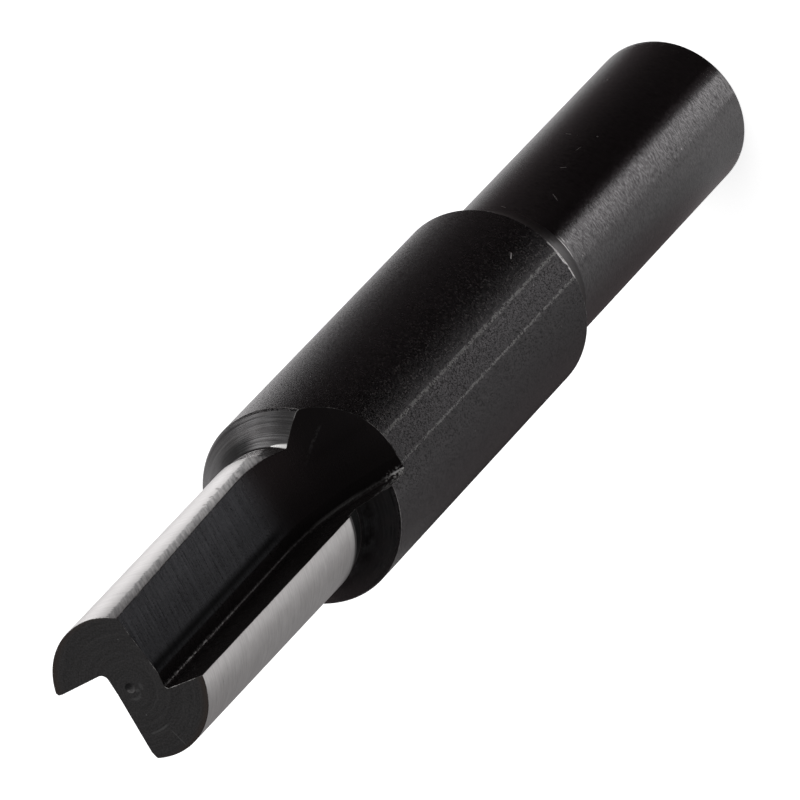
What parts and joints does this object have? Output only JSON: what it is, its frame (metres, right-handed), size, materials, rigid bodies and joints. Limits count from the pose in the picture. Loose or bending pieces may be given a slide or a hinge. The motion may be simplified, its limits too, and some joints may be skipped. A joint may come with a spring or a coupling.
{
  "type": "wood milling cutter",
  "caption": "Straight shank milling cutter for wood with a thicker body, a slimmer cutting end and milled flutes that run out into the body.",
  "frame": {"origin": "centre of the flat shank end face, the lowest point of the standing tool", "axes": "+Z along the tool axis from the shank end to the tip; +X roughly towards the cutting edge whose flute the picture shows"},
  "size_m": [0.016, 0.016, 0.1],
  "materials": {
    "tool_steel": "dark oxidised turned steel with bright ground lands"
  },
  "bodies": {
    "root": {"milling_cutter": "tool_steel"}
  },
  "joints": []
}
